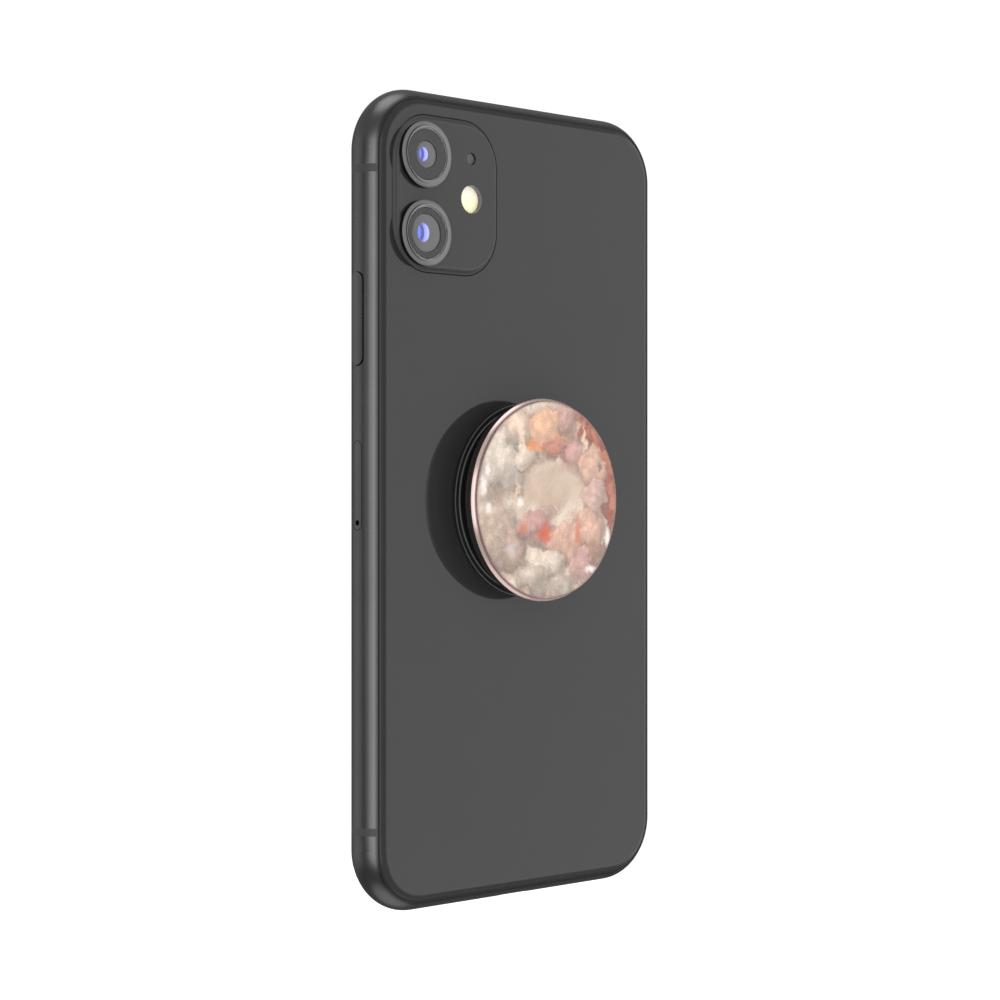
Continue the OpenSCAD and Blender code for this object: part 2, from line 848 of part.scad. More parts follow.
// Screws with a five-lobed recess
module bottom_screws() {
    lobes = 5;
    lobe_r = 0.2;
    lobe_at = 0.28;
    color("#8e9092") for (x = [-screw_x, screw_x]) difference() {
        translate([x, 0, screw_seat_z]) {
            translate([0, 0, -screw_head_t]) cylinder(r = screw_head_r, h = screw_head_t);
            translate([0, 0, -screw_head_t / 2]) cylinder(r = screw_r, h = screw_len);
        }
        for (a = [0:360 / lobes:359])
            translate([x + lobe_at * cos(a), lobe_at * sin(a), 0])
                cylinder(r = lobe_r, h = screw_seat_z - screw_head_t / 2);
    }
}

module bottom_microphone() {
    half_t = 1.2;
    color("#b8a35a")
        block([-18, -13.6], [-half_t, half_t], [rail_t + screw_gap, rail_t + screw_gap + 1.8]);
}

// Speaker box with a duct down to its sound holes
module loudspeaker() {
    box_y = [inner_front_y + 0.4, 2];
    duct_half_t = 0.9;
    color("#2c2d2f") {
        block([10, 31], box_y, [inner_z, 19.5]);
        block([10.4, 23.5], [-duct_half_t, duct_half_t], [rail_t + screw_gap, inner_z]);
    }
}

module haptic_motor() {
    motor_y = [inner_front_y + 0.5, 1.7];
    color("#a2a4a6") block([-31, -9.4], motor_y, [inner_z, 15.5]);
}

// Charging coil, drawn as separate turns in one plane
module charging_coil() {
    turn_w = 1.1;
    turn_t = 0.42;
    pitch = turn_w + 0.2;
    turns = floor((coil_r - coil_hole_r) / pitch);
    color("#b8733a") for (i = [0:turns - 1])
        turned(0, mid_z) translate([coil_hole_r + i * pitch, coil_seat_y + fit_gap]) square([turn_w, turn_t]);
}

module coil_shield() {
    color("#3d3e42") drum(0, mid_z, coil_shield_r, [coil_seat_y - coil_shield_t, coil_seat_y]);
}

// ---- Side controls, drawn on the +X side ----

// Button: a cap that follows the rail's curve, a flange behind the wall and a plunger
module button(z, length) {
    flange_x = side_x - pocket_in - flange_gap;
    intersection() {
        side_pill(z, length - 2 * button_gap, button_w - 2 * button_gap,
            [flange_x - button_flange_t / 2, side_x + cut]);
        translate([side_x - side_r, 0, 0]) cylinder(r = side_r + button_proud, h = body_h);
    }
    side_pill(z, length + pocket_extra - 2 * flange_room, pocket_w - 2 * flange_room,
        [flange_x - button_flange_t, flange_x]);
    translate([side_x - plunger_in, 0, z]) rotate([0, 90, 0])
        cylinder(r = plunger_r, h = plunger_in - pocket_in - button_flange_t);
}

// Dome switch on a thin flex strip
module dome_switch(z, strip_half) {
    body_half = [1.2, 2.2];
    dome_r = 0.9;
    translate([side_x - switch_in, 0, z]) rotate([0, 90, 0]) cylinder(r = dome_r, h = switch_in - dome_in);
    block([side_x - switch_back_in, side_x - switch_in], [-body_half[0], body_half[0]],
        [z - body_half[1], z + body_half[1]]);
    block([side_x - switch_back_in - strip_t, side_x - switch_back_in], [-body_half[0], body_half[0]],
        [z - strip_half, z + strip_half]);
}

module power_button() {
    color("#555658") button(power_z, power_len);
}

module power_switch() {
    color("#b9a27c") dome_switch(power_z, power_len / 2);
}

module volume_up_button() {
    color("#555658") mirror([1, 0, 0]) button(volume_up_z, volume_len);
}

module volume_down_button() {
    color("#555658") mirror([1, 0, 0]) button(volume_down_z, volume_len);
}

module volume_switches() {
    reach = (volume_up_z - volume_down_z) / 2;
    color("#b9a27c") mirror([1, 0, 0]) {
        dome_switch(volume_up_z, reach);
        dome_switch(volume_down_z, reach);
    }
}

// Lever in its window; it rests towards the screen and slides towards the back
module mute_switch() {
    rest_y = -mute_travel / 2;
    half = mute_lever_w / 2;
    half_len = mute_len / 2 - 0.9;
    face_x = side_x - mute_face_in;
    ridge_w = 0.15;
    ridge_pitch = 0.35;
    ridge_h = 0.12;
    ridge_half_len = half_len - 0.4;
    color("#555658") mirror([1, 0, 0]) {
        block([side_x - mute_base_in + drop_gap, face_x], [rest_y - half, rest_y + half],
            [mute_z - half_len, mute_z + half_len]);
        for (i = [-1:1])
            block([face_x - fit_gap, face_x + ridge_h],
                [rest_y + i * ridge_pitch - ridge_w / 2, rest_y + i * ridge_pitch + ridge_w / 2],
                [mute_z - ridge_half_len, mute_z + ridge_half_len]);
    }
}

module mute_switch_base() {
    room = 0.2;
    base_t = 1.2;
    color("#d9672b") mirror([1, 0, 0])
        side_pill(mute_z, mute_len + pocket_extra - 2 * room, pocket_w - 2 * room,
            [side_x - mute_base_in - base_t, side_x - mute_base_in]);
}

// ---- Grip, folded flat ----

module grip_adhesive() {
    pad_in = 0.3;
    color("#151517") drum(0, mid_z, base_r - pad_in, [back_y, grip_y(pad_h)]);
}

module grip_base() {
    color("#1d1d1f") turned(0, mid_z) polygon([
        [0, grip_y(pad_h)], [base_r, grip_y(pad_h)], [base_r, grip_y(base_step_h)],
        [base_step_r, grip_y(base_step_h)], [base_step_r, grip_y(base_top_h)],
        [well_r, grip_y(base_top_h)], [well_r, grip_y(well_h)], [0, grip_y(well_h)]
    ]);
}

// Outer fold of the bellows, a shallow cone from the base up to the waist
module grip_lower_bellows() {
    foot_h = base_top_h + drop_gap;
    foot_w = 1.2;
    top_in = waist_out_r + bellows_gap;
    color("#161618") turned(0, mid_z) polygon([
        [foot_r, grip_y(foot_h)], [foot_r, grip_y(foot_h + bellows_t)], [top_in, grip_y(waist_h[1])],
        [top_in, grip_y(waist_h[1] - bellows_t)], [foot_r - foot_w, grip_y(foot_h)]
    ]);
}

module grip_waist() {
    color("#161618") turned(0, mid_z) polygon([
        [waist_in_r, grip_y(waist_h[0])], [waist_out_r, grip_y(waist_h[0])],
        [waist_out_r, grip_y(waist_h[1])], [waist_in_r, grip_y(waist_h[1])]
    ]);
}

// Inner fold of the bellows, from the waist up to the carrier
module grip_upper_bellows() {
    crown_h = carrier_h[1] - bellows_gap;
    outer_r = waist_in_r - bellows_gap;
    inner_r = carrier_r + bellows_gap;
    color("#161618") turned(0, mid_z) polygon([
        [outer_r, grip_y(waist_h[1] - bellows_t)], [outer_r, grip_y(waist_h[1])],
        [inner_r, grip_y(crown_h)], [inner_r, grip_y(crown_h - bellows_t)]
    ]);
}

// Carrier: a disc with a neck and two lugs that lock into the top
module grip_carrier() {
    color("#1a1a1c") {
        drum(0, mid_z, carrier_r, [grip_y(carrier_h[0]), grip_y(carrier_h[1])]);
        drum(0, mid_z, neck_r, [grip_y(carrier_h[1]) - fit_gap, grip_y(neck_h)]);
        intersection() {
            drum(0, mid_z, lug_r, [grip_y(lug_h[0]), grip_y(lug_h[1])]);
            block([-lug_r, lug_r], [grip_y(lug_h[0]), grip_y(lug_h[1])],
                [mid_z - lug_w / 2, mid_z + lug_w / 2]);
        }
    }
}

// Top disc with the socket for the carrier; its key slots stand a quarter turn from the lugs
module grip_top_body() {
    bevel = 0.55;
    socket_r = lug_r + lug_gap;
    key_half = lug_w / 2 + lug_gap;
    socket_y = [grip_y(top_h[0]) - cut, grip_y(lug_room_h[1])];
    color("#232325") difference() {
        turned(0, mid_z) polygon([
            [0, grip_y(top_h[0])], [top_r - bevel, grip_y(top_h[0])], [top_r, grip_y(top_h[0] + bevel)],
            [top_r, grip_y(top_h[1])], [pad_top_r, grip_y(top_h[1])], [pad_top_r, grip_y(pad_top_h)],
            [0, grip_y(pad_top_h)]
        ]);
        drum(0, mid_z, neck_r + neck_gap, socket_y);
        drum(0, mid_z, socket_r, [grip_y(lug_room_h[0]), socket_y[1]]);
        intersection() {
            drum(0, mid_z, socket_r, socket_y);
            block([-key_half, key_half], socket_y, [mid_z - socket_r, mid_z + socket_r]);
        }
    }
}

// Points of the rim's bright shoulder, a shallow arc that leans in from its foot to its neck
function shoulder_points(foot, neck, bulge, steps = 6) =
    let (across = neck - foot, out = [across[1], -across[0]] / norm(across))
    [for (i = [0:steps]) let (t = i / steps) foot + across * t + out * 4 * bulge * t * (1 - t)];

module grip_rim() {
    seat_r = pad_top_r + drop_gap;
    lip_r = stone_r + drop_gap;
    brow_r = lip_r + rim_lip;
    foot_h = top_h[1];
    color("#e3b3a6") turned(0, mid_z) polygon(concat(
        [[seat_r, grip_y(foot_h)], [rim_r - rim_round, grip_y(foot_h)]],
        shoulder_points([rim_r, grip_y(foot_h + rim_round)], [brow_r, grip_y(shoulder_h)], rim_bulge),
        [[brow_r, grip_y(stone_edge_h)], [(brow_r + lip_r) / 2, grip_y(stone_edge_h + rim_lip)]],
        [[lip_r, grip_y(stone_edge_h)], [lip_r, grip_y(pad_top_h)], [seat_r, grip_y(pad_top_h)]]
    ));
}

// Polished stone disc with a faintly domed clear face
module grip_stone() {
    color("#d8b7a2") turned(0, mid_z) polygon(concat(
        dome_points(stone_r, stone_rise, grip_y(grip_h)),
        [[stone_r, grip_y(pad_top_h)], [0, grip_y(pad_top_h)]]
    ));
}

// ---- Output ----

frame_right();
frame_left();
frame_top();
frame_bottom();
antenna_breaks();
mid_plate();
back_glass();
back_gasket();
lens_ring_upper();
lens_ring_lower();
lens_cover_upper();
lens_cover_lower();
camera_upper();
camera_lower();
lens_element_upper();
lens_element_lower();
camera_bracket();
bracket_screws();
flash_diffuser();
flash_module();
rear_mic();
front_glass();
display_gasket();
display_panel();
display_plate();
earpiece_mesh();
earpiece_speaker();
front_camera();
face_sensor();
battery();
battery_adhesive();
main_board();
board_shields();
sim_reader();
sim_tray();
sim_card();
charging_port();
port_flex();
bottom_screws();
bottom_microphone();
loudspeaker();
haptic_motor();
charging_coil();
coil_shield();
power_button();
power_switch();
volume_up_button();
volume_down_button();
volume_switches();
mute_switch();
mute_switch_base();
grip_adhesive();
grip_base();
grip_lower_bellows();
grip_waist();
grip_upper_bellows();
grip_carrier();
grip_top_body();
grip_rim();
grip_stone();
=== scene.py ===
# Looks for the smartphone with its folding round grip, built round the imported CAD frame.
import json
import math

import bpy
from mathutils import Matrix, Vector


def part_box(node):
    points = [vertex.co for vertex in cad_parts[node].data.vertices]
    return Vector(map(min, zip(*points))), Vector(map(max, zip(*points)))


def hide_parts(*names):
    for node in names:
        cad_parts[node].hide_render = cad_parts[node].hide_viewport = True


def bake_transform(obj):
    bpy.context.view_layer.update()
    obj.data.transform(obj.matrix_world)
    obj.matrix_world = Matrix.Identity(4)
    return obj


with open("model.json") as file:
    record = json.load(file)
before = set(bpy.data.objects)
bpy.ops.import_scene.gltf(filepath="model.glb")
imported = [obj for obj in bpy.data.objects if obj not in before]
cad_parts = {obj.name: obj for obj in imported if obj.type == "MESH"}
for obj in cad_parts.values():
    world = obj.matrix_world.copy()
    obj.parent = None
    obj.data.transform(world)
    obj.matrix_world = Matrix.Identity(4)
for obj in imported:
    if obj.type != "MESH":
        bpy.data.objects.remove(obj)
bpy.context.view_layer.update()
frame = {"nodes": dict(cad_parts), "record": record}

MM = 0.001
NODES = frame["nodes"]

# ---------------------------------------------------------------- places, read from the CAD frame
# In metres, for the camera and the pieces
BODY_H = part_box("frame_top")[1].z
BODY_W = 2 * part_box("frame_right")[1].x
MID_Z = BODY_H / 2
BACK_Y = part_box("grip_adhesive")[0].y


def centre_of(node):
    """Middle of a node's box in mm."""
    low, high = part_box(node)
    return (low + high) / 2 / MM


# In mm, for the materials
BACK = BACK_Y / MM
GRIP_AXIS = Vector((0, 0, MID_Z / MM))
UPPER_LENS = centre_of("lens_ring_upper")
LOWER_LENS = centre_of("lens_ring_lower")
FLASH = centre_of("flash_diffuser")
COVER_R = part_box("lens_cover_upper")[1].x / MM - UPPER_LENS.x
RING_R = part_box("lens_ring_upper")[1].x / MM - UPPER_LENS.x
RING_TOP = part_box("lens_ring_upper")[1].y / MM
BARREL_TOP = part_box("camera_upper")[1].y / MM
# Foot of the camera plateau: centre x, centre z, width, height, corner radius
PLATEAU = (20.0, 131.575, 26.2, 28.75, 8.5)


# ---------------------------------------------------------------- studio
CAMERA_AZIMUTH = math.radians(45.61)  # from +X towards +Y
CAMERA_DISTANCE = 0.4558
CAMERA_LENS = 85.6
SENSOR_WIDTH = 36.0
AIM_SHIFT = 1.34 * MM
FLOOR_DROP = 0.05
FLOOR_RADIUS = 0.36
FLOOR_STEPS = 96
FLOOR_TONE = 0.75
FLOOR_GLOW = 0.62

# Radiance of the studio by direction round the phone, in degrees from +X towards +Y
STUDIO = [
    (-180, 0.14), (-150, 0.12), (-105, 0.10), (-80, 0.30), (-52, 0.46), (-30, 0.38), (-8, 0.14),
    (8, 0.34), (24, 0.95), (42, 1.35), (56, 1.05), (66, 0.22), (114, 0.22), (124, 0.70),
    (130, 1.12), (164, 1.12), (176, 0.20),
]
STUDIO_SCALE = 2.0
# The softboxes end at these heights. Above and below them are dark walls
BOX_TOP = (0.30, 0.58)
BOX_FOOT = (-0.55, -0.28)
DARK_ABOVE = 0.26
DARK_BELOW = 0.14
# Roof light, and a dimmer one from the floor: where each begins and is full, and its radiance
ROOF_LIGHT = (0.88, 0.98, 1.35)
FLOOR_LIGHT = (0.80, 0.97, 0.60)
# Even light for everything matt, and how much stronger it is from above than from the sides
FILL_LIGHT = 0.95
FILL_TILT = 0.25
BACKDROP = 1.05


def link_object(name, data):
    obj = bpy.data.objects.new(name, data)
    bpy.context.scene.collection.objects.link(obj)
    return obj


def make_camera():
    data = bpy.data.cameras.new("camera")
    data.lens = CAMERA_LENS
    data.sensor_width = SENSOR_WIDTH
    data.clip_start = 0.01
    cam = link_object("camera", data)
    away = Vector((math.cos(CAMERA_AZIMUTH), math.sin(CAMERA_AZIMUTH), 0))
    right = Vector((-away.y, away.x, 0))
    centre = Vector((0, 0, MID_Z))
    cam.location = centre + away * CAMERA_DISTANCE
    cam.rotation_mode = "QUATERNION"
    aim = centre - right * AIM_SHIFT
    cam.rotation_quaternion = (aim - cam.location).to_track_quat("-Z", "Y")
    bpy.context.scene.camera = cam


# ---------------------------------------------------------------- shader graph helper
class Graph:
    """Short calls for the shader nodes of one material or world."""

    def __init__(self, tree):
        self.tree = tree

    def put(self, socket, value):
        """Links a socket, or sets its number or colour."""
        if isinstance(value, bpy.types.NodeSocket):
            self.tree.links.new(value, socket)
        elif isinstance(value, tuple) and len(value) == 3 and socket.type == "RGBA":
            socket.default_value = (*value, 1)
        else:
            socket.default_value = value

    def node(self, kind, settings=None, **sockets):
        n = self.tree.nodes.new("ShaderNode" + kind)
        for key, value in (settings or {}).items():
            setattr(n, key, value)
        for key, value in sockets.items():
            self.put(n.inputs[key.replace("_", " ")], value)
        return n

    def math(self, operation, *values):
        n = self.node("Math", {"operation": operation})
        for socket, value in zip(n.inputs, values):
            self.put(socket, value)
        return n.outputs[0]

    def times(self, first, *others):
        for other in others:
            first = self.math("MULTIPLY", first, other)
        return first

    def hypot(self, a, b):
        return self.math("SQRT", self.math("ADD", self.times(a, a), self.times(b, b)))

    def vector(self, operation, *values):
        n = self.node("VectorMath", {"operation": operation})
        for socket, value in zip(n.inputs, values):
            self.put(socket, value)
        return n.outputs["Vector"]

    def scaled(self, vector, factor):
        n = self.node("VectorMath", {"operation": "SCALE"}, Vector=vector, Scale=factor)
        return n.outputs["Vector"]

    def blend(self, a, b, factor):
        n = self.node("Mix", {"data_type": "FLOAT"}, Factor=factor, A=a, B=b)
        return n.outputs["Result"]

    def span(self, value, low, high, to_low=0.0, to_high=1.0):
        """Maps low..high to to_low..to_high with soft ends."""
        n = self.node("MapRange", {"interpolation_type": "SMOOTHSTEP"}, Value=value)
        for key, limit in (("From Min", low), ("From Max", high), ("To Min", to_low), ("To Max", to_high)):
            self.put(n.inputs[key], limit)
        return n.outputs[0]

    def band(self, value, centre, half, soft):
        """1 within half of the centre, falling to 0 over soft."""
        away = self.math("ABSOLUTE", self.math("SUBTRACT", value, centre))
        return self.span(away, half, half + soft, 1.0, 0.0)

    def mix(self, factor, a, b, blend="MIX"):
        n = self.node("Mix", {"data_type": "RGBA", "blend_type": blend})
        self.put(n.inputs["Factor"], factor)
        first, second = [s for s in n.inputs if s.type == "RGBA"]
        self.put(first, a)
        self.put(second, b)
        return [s for s in n.outputs if s.type == "RGBA"][0]

    def dimmed(self, colour, level):
        """A colour multiplied by a number."""
        tone = self.node("CombineXYZ", X=level, Y=level, Z=level).outputs[0]
        return self.mix(1.0, colour, tone, "MULTIPLY")

    def ramp(self, factor, stops):
        n = self.node("ValToRGB", Fac=factor)
        n.color_ramp.interpolation = "EASE"
        elements = n.color_ramp.elements
        while len(elements) < len(stops):
            elements.new(0.5)
        for element, (position, colour) in zip(elements, stops):
            element.position = position
            element.color = (*colour, 1)
        return n.outputs["Color"]


class Finish(Graph):
    """A Principled material worked out in millimetres of the piece's own space."""

    def __init__(self, name, **sockets):
        self.mat = bpy.data.materials.new(name)
        self.mat.use_nodes = True
        super().__init__(self.mat.node_tree)
        self.shader = self.tree.nodes["Principled BSDF"]
        self.set(**sockets)
        place = self.node("TexCoord").outputs["Object"]
        self.at = self.scaled(place, 1 / MM)
        split = self.node("SeparateXYZ", Vector=self.at)
        self.x, self.y, self.z = split.outputs

    def set(self, **sockets):
        for key, value in sockets.items():
            self.put(self.shader.inputs[key.replace("_", " ")], value)

    def driven(self, socket):
        """Whatever drives a socket of the shader so far."""
        return self.shader.inputs[socket].links[0].from_socket

    def noise(self, size, detail=3.0, roughness=0.5, distortion=0.0, at=None, out="Fac"):
        """Noise with features about size millimetres across."""
        n = self.node("TexNoise", Vector=at or self.at, Scale=1 / size, Detail=detail,
                      Roughness=roughness, Distortion=distortion)
        return n.outputs[out]

    def cells(self, size, feature, at=None):
        """Distances in a pattern of cells about size millimetres across."""
        n = self.node("TexVoronoi", {"feature": feature}, Vector=at or self.at, Scale=1 / size)
        return n.outputs["Distance"]

    def pushed(self, at, size, amount, detail, roughness=0.6):
        """A place pushed about by up to half the amount, in swirls about size across."""
        push = self.vector("SUBTRACT", self.noise(size, detail, roughness, out="Color"), (0.5, 0.5, 0.5))
        return self.vector("ADD", at, self.scaled(push, amount))

    def clouded(self, colour, size, detail, swing):
        """A colour that drifts darker and lighter by the swing."""
        cloud = self.noise(size, detail)
        return self.mix(self.span(cloud, 0.3, 0.7), shade(colour, 1 - swing), shade(colour, 1 + swing))

    def radius(self, centre):
        """Distance from the line through centre along Y."""
        across = self.math("SUBTRACT", self.x, centre.x)
        return self.hypot(across, self.math("SUBTRACT", self.z, centre.z))

    def rounded(self, x, z, w, h, r):
        """Signed distance from a rounded rectangle in the XZ plane."""
        qx = self.math("SUBTRACT", self.math("ABSOLUTE", self.math("SUBTRACT", self.x, x)), w / 2 - r)
        qz = self.math("SUBTRACT", self.math("ABSOLUTE", self.math("SUBTRACT", self.z, z)), h / 2 - r)
        outside = self.hypot(self.math("MAXIMUM", qx, 0.0), self.math("MAXIMUM", qz, 0.0))
        inside = self.math("MINIMUM", self.math("MAXIMUM", qx, qz), 0.0)
        return self.math("SUBTRACT", self.math("ADD", outside, inside), r)

    def bump(self, height, depth, strength=1.0):
        """Relief, depth millimetres high for a 0 to 1 value."""
        n = self.node("Bump", Height=height, Distance=depth * MM, Strength=strength)
        self.set(Normal=n.outputs[0])

    def gloss(self, value, low, high):
        """Roughness from low to high as a noise value rises."""
        self.set(Roughness=self.span(value, 0.25, 0.75, low, high))


def srgb(code):
    """Linear colour from a hex code."""
    parts = [int(code[i:i + 2], 16) / 255 for i in (0, 2, 4)]
    return tuple(p / 12.92 if p <= 0.04045 else ((p + 0.055) / 1.055) ** 2.4 for p in parts)


def shade(colour, factor):
    return tuple(min(1.0, c * factor) for c in colour)


def grey(value):
    return (value, value, value)


def make_world():
    """Soft studio: white to the camera, softboxes and darker gaps to everything else."""
    world = bpy.data.worlds.new("studio")
    bpy.context.scene.world = world
    world.use_nodes = True
    world.node_tree.nodes.clear()
    g = Graph(world.node_tree)
    way = g.node("SeparateXYZ", Vector=g.node("TexCoord").outputs["Generated"])
    turn = g.math("ARCTAN2", way.outputs["Y"], way.outputs["X"])
    share = g.math("MULTIPLY_ADD", turn, 1 / math.tau, 0.5)
    stops = [(degrees / 360 + 0.5, grey(value / STUDIO_SCALE)) for degrees, value in STUDIO]
    light = g.times(g.ramp(share, stops), STUDIO_SCALE)
    height = way.outputs["Z"]
    light = g.blend(light, DARK_ABOVE, g.span(height, *BOX_TOP))
    light = g.blend(light, DARK_BELOW, g.span(height, *reversed(BOX_FOOT)))
    light = g.blend(light, ROOF_LIGHT[2], g.span(height, *ROOF_LIGHT[:2]))
    light = g.blend(light, FLOOR_LIGHT[2], g.span(g.times(height, -1.0), *FLOOR_LIGHT[:2]))
    path = g.node("LightPath")
    fill = g.span(height, -1.0, 1.0, FILL_LIGHT * (1 - FILL_TILT), FILL_LIGHT * (1 + FILL_TILT))
    light = g.blend(light, fill, path.outputs["Is Diffuse Ray"])
    light = g.blend(light, BACKDROP, path.outputs["Is Camera Ray"])
    background = g.node("Background", Color=grey(1.0), Strength=light)
    g.node("OutputWorld", Surface=background.outputs[0])


def make_floor():
    """Pale round table just below the phone."""
    turns = [math.tau * i / FLOOR_STEPS for i in range(FLOOR_STEPS)]
    points = [(FLOOR_RADIUS * math.cos(a), FLOOR_RADIUS * math.sin(a), -FLOOR_DROP) for a in turns]
    mesh = bpy.data.meshes.new("floor")
    mesh.from_pydata(points, [], [tuple(range(len(points)))])
    floor = link_object("floor", mesh)
    g = Finish("floor", Base_Color=grey(FLOOR_TONE), Roughness=0.9,
               Emission_Color=grey(1.0), Emission_Strength=FLOOR_GLOW)
    mesh.materials.append(g.mat)
    floor.visible_glossy = False


# ---------------------------------------------------------------- general finishes
def anodised(name, colour, roughness=0.27):
    """Bead-blasted anodised aluminium: a fine grain in its gloss and height."""
    g = Finish(name, Metallic=1.0)
    grain = g.noise(0.12, detail=2.0)
    g.set(Base_Color=g.clouded(colour, size=9.0, detail=3.0, swing=0.03))
    g.gloss(grain, roughness - 0.03, roughness + 0.04)
    g.bump(grain, depth=0.002, strength=0.25)
    return g


def moulded(name, colour, roughness, grain_size=0.2, depth=0.01):
    """Moulded plastic or rubber with a fine eroded texture."""
    g = Finish(name)
    grain = g.noise(grain_size, detail=4.0, roughness=0.6)
    g.set(Base_Color=g.clouded(colour, size=6.0, detail=2.0, swing=0.08))
    g.gloss(grain, roughness - 0.05, roughness + 0.06)
    g.bump(grain, depth, strength=0.5)
    return g


def brushed(name, colour, roughness=0.3):
    """Metal with a grain along Z."""
    g = Finish(name, Metallic=1.0)
    lines = g.noise(0.08, detail=2.0, at=g.vector("MULTIPLY", g.at, (1.0, 1.0, 0.05)))
    g.set(Base_Color=g.mix(lines, shade(colour, 0.85), colour))
    g.gloss(lines, roughness - 0.08, roughness + 0.08)
    g.bump(lines, depth=0.003, strength=0.3)
    return g


def polished(name, colour, roughness):
    """Coated glass: a deep colour under a hard gloss, with the faintest smears."""
    g = Finish(name, IOR=1.5)
    smear = g.noise(14.0, detail=5.0, roughness=0.6, distortion=0.6)
    g.set(Base_Color=g.mix(g.span(smear, 0.35, 0.7), colour, shade(colour, 1.04)))
    g.gloss(smear, roughness, roughness + 0.015)
    return g


# ---------------------------------------------------------------- back glass and rails
# The back glass turns down to its edge between these heights, and the rails' lips stand below it
EDGE_FROM_Y = BACK - 0.2
EDGE_TO_Y = BACK - 0.45
LIP_Y = BACK - 0.59
LIP_SPREAD = 0.45
# Painted dark shade line round the plateau's foot, and its satin wall, painted lighter to stand in for
# light: middle from the outline, half width, softness
FOOT_SHADE_LINE = (0.05, 0.06, 0.12)
FOOT_WALL = (-0.6, 0.45, 0.3)
# The painted shade line fades between these distances from the plateau's middle towards the rail, to this
# share
SHADE_LINE_FADE = (6.0, 12.0, 0.3)
FLASH_HOLE_R = 2.63


def back_glass():
    """Tinted glass with a painted dark shade line round the plateau's satin foot, the foot painted lighter
    to stand in for light, and a pale liner in its flash hole.
    """
    g = polished("back_glass", srgb("303031"), 0.015)
    away = g.rounded(*PLATEAU)
    outside = g.math("GREATER_THAN", g.y, BACK - 0.05)
    fade_from, fade_to, faded = SHADE_LINE_FADE
    strength = g.span(g.math("SUBTRACT", g.x, PLATEAU[0]), fade_from, fade_to, 1.0, faded)
    # Painted shade: a dark line round the plateau's foot, fading towards the rail
    foot_shade = g.times(g.band(away, *FOOT_SHADE_LINE), outside, strength)
    wall = g.times(g.band(away, *FOOT_WALL), outside)
    liner = g.span(g.radius(FLASH), FLASH_HOLE_R - 0.01, FLASH_HOLE_R + 0.01, 1.0, 0.0)
    # Painted light: the satin wall is lightened to stand in for light
    colour = g.mix(g.times(wall, 0.6), g.driven("Base Color"), grey(0.075))
    colour = g.mix(liner, colour, grey(0.16))
    # Painted shade: the foot line is near black and reflects less
    colour = g.mix(foot_shade, colour, grey(0.006))
    shine = g.span(g.y, EDGE_FROM_Y, EDGE_TO_Y, 0.5, 0.3)
    g.set(Base_Color=colour, Specular_IOR_Level=g.math("MULTIPLY_ADD", foot_shade, -0.42, shine),
          Roughness=g.math("MULTIPLY_ADD", wall, 0.42, 0.018))
    return g


def rail_aluminium():
    """Anodised rail, darker where it turns in to meet the two glasses: painted shade at those seams."""
    g = anodised("anodised_rail", grey(0.205))
    # Painted shade at the seams with the two glasses
    seam_shade = g.span(g.math("ABSOLUTE", g.y), LIP_Y - LIP_SPREAD, LIP_Y)
    g.set(Base_Color=g.mix(seam_shade, g.driven("Base Color"), grey(0.09)))
    return g


# ---------------------------------------------------------------- cameras and flash
# Turned lens ring: edge of its lip with a painted highlight, middle of a painted dark shade line beside
# it, and the foot of its shoulder
RING_LIP_R = COVER_R + 0.2
RING_SHADE_LINE_R = COVER_R + 0.37
RING_SHOULDER_Y = RING_TOP - 0.39


def ring_aluminium():
    """Turned lens ring: a satin shoulder, a painted highlight on its inner lip, a painted dark shade line
    beside it that is strongest towards the rail, and an outer wall painted dark as shade.
    """
    g = anodised("ring_aluminium", grey(0.19), 0.34)
    r = g.math("MINIMUM", g.radius(UPPER_LENS), g.radius(LOWER_LENS))
    # Painted highlight on the inner lip
    lip_highlight = g.span(r, RING_LIP_R + 0.02, RING_LIP_R - 0.02)
    # Painted shade: a dark line beside the lip, strongest on the side towards the rail
    shade_line = g.band(r, RING_SHADE_LINE_R, 0.12, 0.05)
    towards_rail = g.span(g.math("SUBTRACT", g.x, UPPER_LENS.x), -1.5, 4.5)
    colour = g.mix(lip_highlight, g.driven("Base Color"), grey(0.30))
    colour = g.mix(g.times(shade_line, towards_rail), colour, grey(0.01))
    # Painted shade: the outer wall below the shoulder is painted near black, and more metallic
    below = g.span(g.y, RING_SHOULDER_Y + 0.03, RING_SHOULDER_Y - 0.03)
    wall = g.times(below, g.math("GREATER_THAN", r, RING_R - 0.1))
    g.set(Base_Color=g.mix(wall, colour, grey(0.035)), Metallic=g.math("MULTIPLY_ADD", wall, 0.6, 0.25))
    return g


def cover_glass():
    """Lens cover with an anti-reflection coat: quite clear until it is seen at a slant."""
    g = Finish("cover_glass", Metallic=1.0)
    smear = g.noise(3.0)
    g.set(Base_Color=g.mix(smear, grey(0.80), grey(0.86)), Roughness=g.span(smear, 0.6, 0.9, 0.0, 0.02))
    slant = g.node("LayerWeight", Blend=0.5).outputs["Facing"]
    g.set(Alpha=g.span(slant, 0.45, 1.0, 0.0, 0.7))
    return g


def camera_black():
    """Gloss black of the lens barrels; satin inside their bores, which are painted lighter to stand in for
    light.
    """
    g = polished("camera_black", srgb("373738"), 0.012)
    # Painted light: the bores are lightened, and satin
    bore = g.span(g.y, BARREL_TOP - 0.03, BARREL_TOP - 0.06)
    g.set(Base_Color=g.mix(bore, g.driven("Base Color"), grey(0.12)),
          Roughness=g.blend(g.driven("Roughness"), 0.5, bore))
    return g


# Painted reflection of the lens coating, which also glows: shift towards the power button, half heights,
# width over height, and glow
REFLECTION_SHIFT = 0.8
UPPER_REFLECTION_R = 1.35
LOWER_REFLECTION_R = 1.8
REFLECTION_SQUEEZE = 0.8
REFLECTION_GLOW = 0.42
